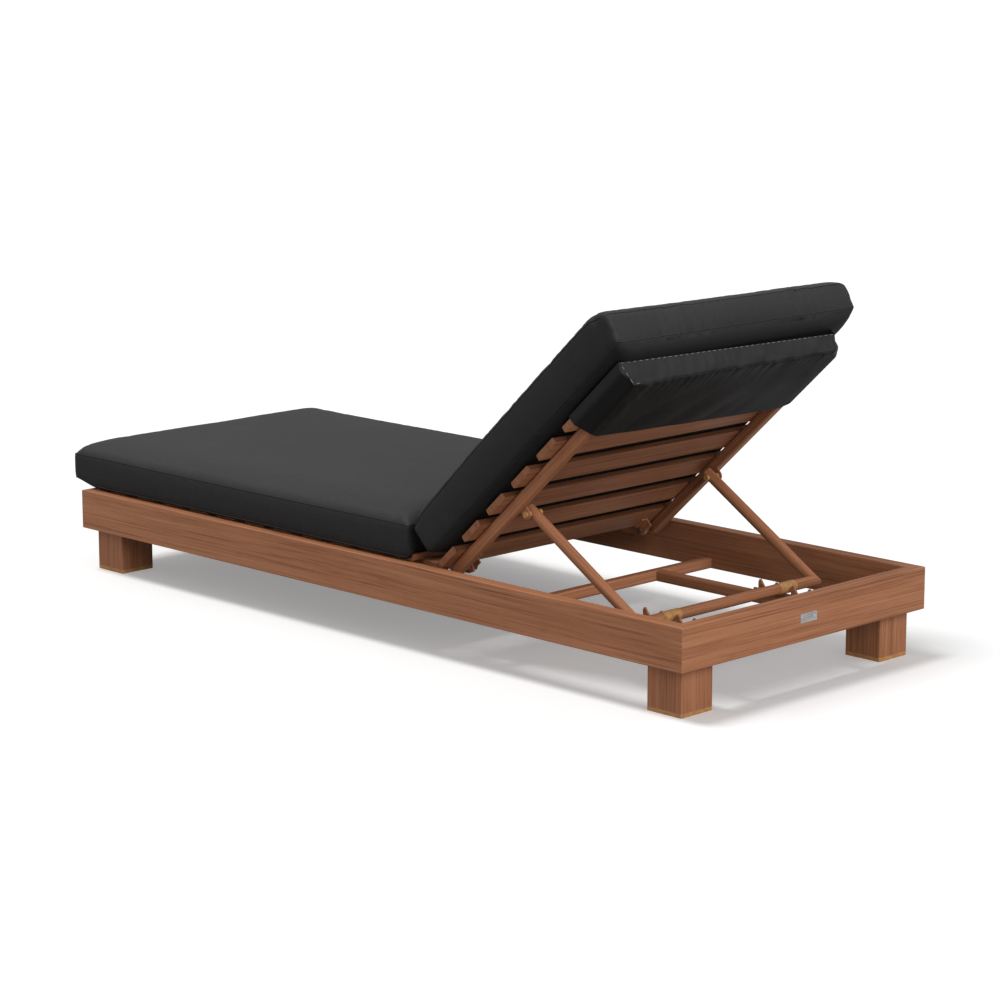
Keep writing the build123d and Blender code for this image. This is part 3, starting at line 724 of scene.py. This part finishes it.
hoodLook = {  # places are across, up the backrest and above its plane, in metres
    "hemNear": 0.366,  # the hem climbs towards the near side
    "hemFar": 0.338,
    "hemLift": 0.014,  # how far it is drawn up round the rails
    "end": 0.5505,
    "bandTop": 0.568,
    "bandHeight": 0.043,
    "bandDip": 0.014,  # how much lower its top edge runs at the far end
    "sideX": 0.3685,
    "railX": 0.3365,
    "flatX": 0.30,  # the folds and the tuck begin or end here
    "farTuck": 0.76,  # how much of the far corner is drawn in past the last slat
    "tuckFrom": 0.520,
    "tuckTo": 0.549,
    "behind": -0.0045,
    "sideLow": 0.022,
    "sideTop": 0.0425,
    "cloth": 0.0012,
    "flatWidth": 0.79,
    "rows": 60,
    "bandRows": 16,
    "stitchedAt": (0.366, 0.24, 0.12, 0.0, -0.12, -0.24, -0.314),
    "stitchRow": 0.965,  # how far up the band the stitches run, as a share
    "seamFrom": 0.333,
    "seamLength": 0.650,
}
foldLook = {  # depths in metres
    "gather": 0.0060,
    "gatherReach": 0.028,
    "slack": 0.0050,
    "slant": 0.0048,
    "spread": 0.0065,
    "fanFrom": (0.345, 0.55),  # the near corner of the band, where folds spread from
    "fanFolds": 3.6,
    "seamDip": 0.0022,
    "bandLift": 0.0016,  # the band stands off the panel under its seam
    "leastLift": 0.0004,
    "bandOut": (0.928, -0.371),  # the way off the band: up the backrest, and above its plane
    "bulge": 0.0050,
    "waver": 0.0012,
    "valley": 0.0035,
    "valleyX": 0.318,
    "valleyWidth": 0.022,
}


def crossSection():  # from the far side's top edge, round the back, to the near side's top edge
    h = hoodLook
    corners = [
        (-h["sideX"], h["sideTop"]),
        (-h["sideX"], h["sideLow"]),
        (-h["railX"], h["behind"]),
        (h["railX"], h["behind"]),
        (h["sideX"], h["sideLow"]),
        (h["sideX"], h["sideTop"]),
    ]
    counts = [6, 14, 170, 14, 6]
    points = []
    for (a, b), count in zip(zip(corners, corners[1:]), counts):
        for i in range(count):
            t = i / count
            points.append((a[0] + (b[0] - a[0]) * t, a[1] + (b[1] - a[1]) * t))
    points.append(corners[-1])
    for _ in range(4):  # soften the corners
        softened = [
            ((a[0] + 2 * b[0] + c[0]) / 4, (a[1] + 2 * b[1] + c[1]) / 4)
            for a, b, c in zip(points, points[1:], points[2:])
        ]
        points = [points[0]] + softened + [points[-1]]
    return points


def onBack(x, s, n):  # a place on the flat backrest: across, up its length, and above its plane
    return Vector((x, backStart + s, backPlane + n))


def bandPlace(x, t):  # t runs from the band's seam to its top edge
    h = hoodLook
    top = h["bandHeight"] - h["bandDip"] * (1 - x / h["sideX"]) / 2
    return h["end"] + (h["bandTop"] - h["end"]) * t, h["behind"] + (top - h["behind"]) * t


def creases(x, seed):
    return noise.noise(Vector((x * 24, seed, 0.7))) + 0.6 * noise.noise(Vector((x * 62, seed, 3.3)))


def panelDepth(x, s, t, corner):  # how deep the panel folds in, t running from its hem to the band
    f = foldLook
    gather = math.exp(-(corner - s) / f["gatherReach"]) * abs(creases(x, 2.3))
    slack = abs(noise.noise(Vector((x * 3.5, s * 7.0, 5.5)))) * math.sin(math.pi * t)
    slant = abs(noise.noise(Vector(((x + 0.8 * s) * 8, (x - s) * 2.5, 1.1))))
    slant *= (1 - t) * min(1.0, 6 * t + 0.3)
    fan = math.atan2(f["fanFrom"][1] - s, f["fanFrom"][0] - x) * f["fanFolds"]
    spread = abs(noise.noise(Vector((fan, 0.4, 9.4)))) * math.exp(-(0.36 - x) / 0.11) * t
    return f["gather"] * gather + f["slack"] * slack + f["slant"] * slant + f["spread"] * spread


def bandLiftAt(x, t):  # how far the band stands off, t running from its seam to its top edge
    f = foldLook
    swell = math.sin(math.pi * min(t * 0.9 + 0.1, 1.0))
    valley = math.exp(-(((x - f["valleyX"]) + (1 - t) * 0.03) / f["valleyWidth"]) ** 2) * (1 - t)
    lift = f["bandLift"] * (1 - t * 0.5) - f["valley"] * valley
    lift += f["bulge"] * swell * (0.25 + 1.3 * creases(x, 3.1 + t * 0.25))
    lift += f["waver"] * noise.noise(Vector((x * 14, 6.6, 0.1))) * t
    return max(lift, f["leastLift"])


def hoodPoint(x, n, row):
    h = hoodLook
    near = (x / h["sideX"] + 1) / 2
    corner = h["end"] + (n - h["behind"]) * (h["bandTop"] - h["end"]) / (h["bandHeight"] - h["behind"])
    if row < h["rows"]:
        t = row / (h["rows"] - 1)
        hem = h["hemFar"] + (h["hemNear"] - h["hemFar"]) * near ** 1.5
        hem += h["hemLift"] * smoothStep(abs(x), h["flatX"], 0.345)
        s = hem + (corner - hem) * t
        inside = 1 - smoothStep(abs(x), h["flatX"], 0.335)
        n -= inside * panelDepth(x, s, t, corner)
        if row == h["rows"] - 1:  # the seam sinks in
            n += foldLook["seamDip"] * inside
            s -= 0.0010
    else:
        t = (row - h["rows"] + 1) / h["bandRows"]
        n += (h["bandHeight"] - h["bandDip"] * (1 - near) - n) * t
        s = corner + (h["bandTop"] - corner) * t
        lift = bandLiftAt(x, t)
        s += foldLook["bandOut"][0] * lift
        n += foldLook["bandOut"][1] * lift
    if x < -h["flatX"]:
        x = -h["flatX"] + (x + h["flatX"]) * (1 - h["farTuck"] * smoothStep(s, h["tuckFrom"], h["tuckTo"]))
    return onBack(x, s, n)


def makeHood():
    h = hoodLook
    section = crossSection()
    deselectAll()
    bpy.ops.mesh.primitive_grid_add(
        x_subdivisions=len(section) - 1, y_subdivisions=h["rows"] + h["bandRows"] - 1, size=1
    )
    piece = bpy.context.object
    piece.name = "backrestHood"
    wide = len(section)
    for index, vertex in enumerate(piece.data.vertices):
        x, n = section[index % wide]
        vertex.co = hoodPoint(x, n, index // wide)
    takeUp(piece)
    bpy.ops.object.mode_set(mode="EDIT")
    bpy.ops.mesh.select_all(action="SELECT")
    bpy.ops.mesh.normals_make_consistent(inside=False)
    bpy.ops.object.mode_set(mode="OBJECT")
    area = sum(p.area for p in piece.data.polygons)
    addModifier(piece, "SOLIDIFY", thickness=h["cloth"], offset=0)
    bpy.ops.object.shade_smooth()
    return piece, area


def edgeOfBand(x, t, away=0.0012):  # a place just off the band's cloth
    s, n = bandPlace(x, t)
    outS, outN = foldLook["bandOut"]
    lift = foldLook["bandLift"] * (1 - t * 0.5) + away
    return onBack(x, s + outS * lift, n + outN * lift)


threadLook = {
    "pale": (0.30, 0.30, 0.30, 1),
    "dark": (0.12, 0.12, 0.12, 1),
    "radius": 0.0007,
    "length": 0.0085,
    "gap": 0.0075,
}


def threadMaterial():
    s = Shade("greyThread")
    twist = s.grainNoise(s.place(), (900.0, 900.0, 900.0), detail=2.0)
    colour = s.blend(s.range(twist, 0.35, 0.65), threadLook["dark"], threadLook["pale"])
    roughness = s.range(twist, 0.3, 0.7, 0.55, 0.75)
    return s.finish(colour, roughness, s.bump(twist, 0.0001, 0.5), Specular_IOR_Level=0.3)


greyThread = threadMaterial()


def stitchRun(name, cloth, lines):  # a row of stitches along each line, laid on the cloth
    surface = surfaceOf(cloth)
    deselectAll()
    bpy.ops.mesh.primitive_cylinder_add(
        vertices=6, radius=threadLook["radius"], depth=threadLook["length"], location=(0, 0, 0)
    )
    first = bpy.context.object
    bpy.ops.object.mode_set(mode="EDIT")
    bpy.ops.mesh.select_all(action="SELECT")
    bpy.ops.mesh.bevel(offset=threadLook["radius"] * 0.5, segments=1)
    bpy.ops.object.mode_set(mode="OBJECT")
    stitches = []
    for start, end in lines:
        count = int((end - start).length / (threadLook["length"] + threadLook["gap"]))
        for i in range(count):
            spot = start + (end - start) * ((i + 0.5) / count)
            nearest, normal, index, distance = surface.find_nearest(spot)
            if (spot - nearest).dot(normal) < 0:
                normal = -normal
            stitch = first.copy()
            stitch.data = first.data.copy()
            turn = (end - start).to_track_quat("Z", "Y").to_matrix().to_4x4()
            stitch.data.transform(Matrix.Translation(nearest + normal * threadLook["radius"] * 0.6) @ turn)
            bpy.context.scene.collection.objects.link(stitch)
            stitches.append(stitch)
    bpy.data.objects.remove(first)
    deselectAll()
    for stitch in stitches:
        stitch.select_set(True)
    bpy.context.view_layer.objects.active = stitches[0]
    bpy.ops.object.join()
    piece = bpy.context.object
    piece.name = name
    return piece


flapLook = {
    "top": (0.3690, 0.5695, 0.0405),  # across, up the backrest, above its plane
    "tip": (0.3455, 0.5525, -0.0065),
    "inner": (0.3160, 0.5525, -0.0050),
    "lift": 0.0012,
    "puff": 0.0016,
    "stitchIn": 0.10,  # how far the stitches lie in from its edges, as a share
    "stitchLift": (0, 0.0024, -0.0010),
}


def makeCornerFlap():  # the pointed near end of the band, folded over itself
    deselectAll()
    bpy.ops.mesh.primitive_grid_add(x_subdivisions=10, y_subdivisions=10, size=1)
    flap = bpy.context.object
    flap.name = "hoodCornerFlap"
    top, tip, inner = (onBack(*flapLook[corner]) for corner in ("top", "tip", "inner"))
    outwards = Vector((0, *foldLook["bandOut"]))
    for vertex in flap.data.vertices:
        u, v = vertex.co.x + 0.5, vertex.co.y + 0.5
        place = top * (1 - v) + (tip * (1 - u) + inner * u) * v
        puff = flapLook["puff"] * math.sin(math.pi * v) * math.sin(math.pi * u)
        vertex.co = place + outwards * (flapLook["lift"] + puff)
    takeUp(flap)
    bpy.ops.object.mode_set(mode="EDIT")
    bpy.ops.mesh.select_all(action="SELECT")
    bpy.ops.mesh.remove_doubles(threshold=0.0002)
    bpy.ops.mesh.normals_make_consistent(inside=False)
    bpy.ops.object.mode_set(mode="OBJECT")
    addModifier(flap, "SOLIDIFY", thickness=hoodLook["cloth"], offset=0)
    bpy.ops.object.shade_smooth_by_angle(angle=math.radians(40))
    middle = (top + tip + inner) / 3
    lift = Vector(flapLook["stitchLift"])
    edge = [corner.lerp(middle, flapLook["stitchIn"]) + lift for corner in (top, tip, inner)]
    return flap, edge


hood, hoodArea = makeHood()
cornerFlap, flapEdge = makeCornerFlap()
topEdge = [edgeOfBand(x, hoodLook["stitchRow"]) for x in hoodLook["stitchedAt"]]
hoodStitches = stitchRun("hoodStitches", hood, list(zip(topEdge, topEdge[1:])))
flapStitches = stitchRun("hoodFlapStitches", cornerFlap, list(zip(flapEdge, flapEdge[1:])))
seamPlace = (hoodLook["end"] + 0.0002, hoodLook["behind"] - 0.001)
seamStart, seamSpan = hoodLook["seamFrom"], hoodLook["seamLength"]
seamLine = [onBack(seamStart - seamSpan * i / 150, *seamPlace) for i in range(151)]
hoodSeam = seamAlong("hoodBandSeam", hood, seamLine, threadLook["radius"], False)
leanBack(hood, hoodStitches, hoodSeam, cornerFlap, flapStitches)
hoodNodes = ["hood_back_panel", "hood_side_panels", "hood_end_band"]
seatInPlace(hood, backFabric, "backrest", "cushion_fabric", *hoodNodes)
for piece, look in (
    (cornerFlap, backFabric),
    (hoodStitches, greyThread),
    (flapStitches, greyThread),
    (hoodSeam, backFabric),
):
    seatInPlace(piece, look, "backrest", "cushion_fabric")
hoodArea / hoodLook["flatWidth"]
print("hood made, cloth area", round(hoodArea, 4))


view = {
    "place": (4.7212, 4.8501 + middleY, 1.6406),
    "turn": (math.radians(90 - 11.5205), 0, math.radians(135.3335)),
    "lens": 106.33,
}
camera = bpy.data.cameras.new("camera")
camera.lens = view["lens"]
camera.sensor_width = 36
camera.clip_end = 200
cameraThing = bpy.data.objects.new("camera", camera)
cameraThing.location = view["place"]
cameraThing.rotation_euler = view["turn"]
bpy.context.scene.collection.objects.link(cameraThing)
bpy.context.scene.camera = cameraThing

studio = {
    "floorSeen": 0.92,  # how pale the floor looks to the camera
    "floorGlow": 0.27,  # lifts the shadow on it
    "floorBounce": 0.54,  # how much light it throws back up
    "ambient": 0.36,
    "lamps": {  # where each comes from, its strength, and its width in degrees
        "overhead": ((0.18, -0.32, 1.0), 1.75, 19.0),
        "headEnd": ((0.12, 0.85, 0.50), 2.50, 45.0),
        "nearSide": ((0.90, 0.10, 0.42), 0.42, 50.0),
        "underSlats": ((0.0, 0.75, -0.66), 0.66, 40.0),
    },
}
deselectAll()
bpy.ops.mesh.primitive_plane_add(size=80, location=(0, 0, 0))
floor = bpy.context.object
floor.name = "studioFloor"
takeUp(floor)
bpy.ops.object.transform_apply(location=True, rotation=True, scale=True)
floorShade = Shade("paleFloor")
paper = floorShade.range(floorShade.grainNoise(floorShade.place(), (1, 1, 1), scale=2.0), 0.3, 0.7)
direct = floorShade.node("ShaderNodeLightPath", out="Is Camera Ray")
seenShade, bounceShade = studio["floorSeen"], studio["floorBounce"]
paperShade = floorShade.blend(paper, (seenShade * 0.995,) * 3 + (1,), (seenShade,) * 3 + (1,))
seen = floorShade.node("ShaderNodeBsdfDiffuse", sockets={"Color": paperShade})
glow = floorShade.node("ShaderNodeEmission", sockets={"Color": (1, 1, 1, 1), "Strength": studio["floorGlow"]})
seen = floorShade.node("ShaderNodeAddShader", sockets={0: seen, 1: glow})
bounced = floorShade.node("ShaderNodeBsdfDiffuse", sockets={"Color": (bounceShade,) * 3 + (1,)})
floorEnd = floorShade.tree.nodes.new("ShaderNodeOutputMaterial")
floorMix = floorShade.node("ShaderNodeMixShader", sockets={0: direct, 1: bounced, 2: seen})
floorShade.tree.links.new(floorMix.out, floorEnd.inputs["Surface"])
floor.data.materials.append(floorShade.material)

world = bpy.data.worlds.new("studio")
bpy.context.scene.world = world
world.use_nodes = True
tree = world.node_tree
tree.nodes.clear()
backdrop = tree.nodes.new("ShaderNodeBackground")
backdrop.inputs["Color"].default_value = (1, 1, 1, 1)
backdrop.inputs["Strength"].default_value = 1.0
lit = tree.nodes.new("ShaderNodeBackground")
lit.inputs["Color"].default_value = (1, 1, 1, 1)
lit.inputs["Strength"].default_value = studio["ambient"]
ray = tree.nodes.new("ShaderNodeLightPath")
mix = tree.nodes.new("ShaderNodeMixShader")
end = tree.nodes.new("ShaderNodeOutputWorld")
tree.links.new(ray.outputs["Is Camera Ray"], mix.inputs["Fac"])
tree.links.new(lit.outputs[0], mix.inputs[1])
tree.links.new(backdrop.outputs[0], mix.inputs[2])
tree.links.new(mix.outputs[0], end.inputs["Surface"])


def flagged(name, things, state):  # says what a lamp reaches, or what blocks it
    group = bpy.data.collections.new(name)
    for thing in things:
        group.objects.link(thing)
    for entry in group.collection_objects:
        entry.light_linking.link_state = state
    return group


backSlats = [thing for node, thing in frame["nodes"].items() if node.startswith("back_slat_")]
for name, (source, strength, width) in studio["lamps"].items():
    lamp = bpy.data.lights.new(name, "SUN")
    lamp.energy = strength
    lamp.angle = math.radians(width)
    thing = bpy.data.objects.new(name, lamp)
    thing.location = tuple(3 * c for c in source)
    thing.rotation_euler = (-Vector(source)).to_track_quat("-Z", "Y").to_euler()
    bpy.context.scene.collection.objects.link(thing)
    linking = thing.light_linking
    if name == "headEnd":
        linking.receiver_collection = flagged(name + "Keeps", [floor] + backSlats, "EXCLUDE")
    elif name == "nearSide":
        linking.receiver_collection = flagged(name + "Keeps", [floor], "EXCLUDE")
    elif name == "underSlats":  # comes up through the floor, to the backrest's slats alone
        linking.receiver_collection = flagged(name + "Lights", backSlats, "INCLUDE")
        linking.blocker_collection = flagged(name + "Passes", [floor], "EXCLUDE")

scene = bpy.context.scene
scene.view_settings.view_transform = "Standard"
scene.view_settings.look = "None"
scene.view_settings.exposure = 0
scene.view_settings.gamma = 1
print("camera, floor and lights set")
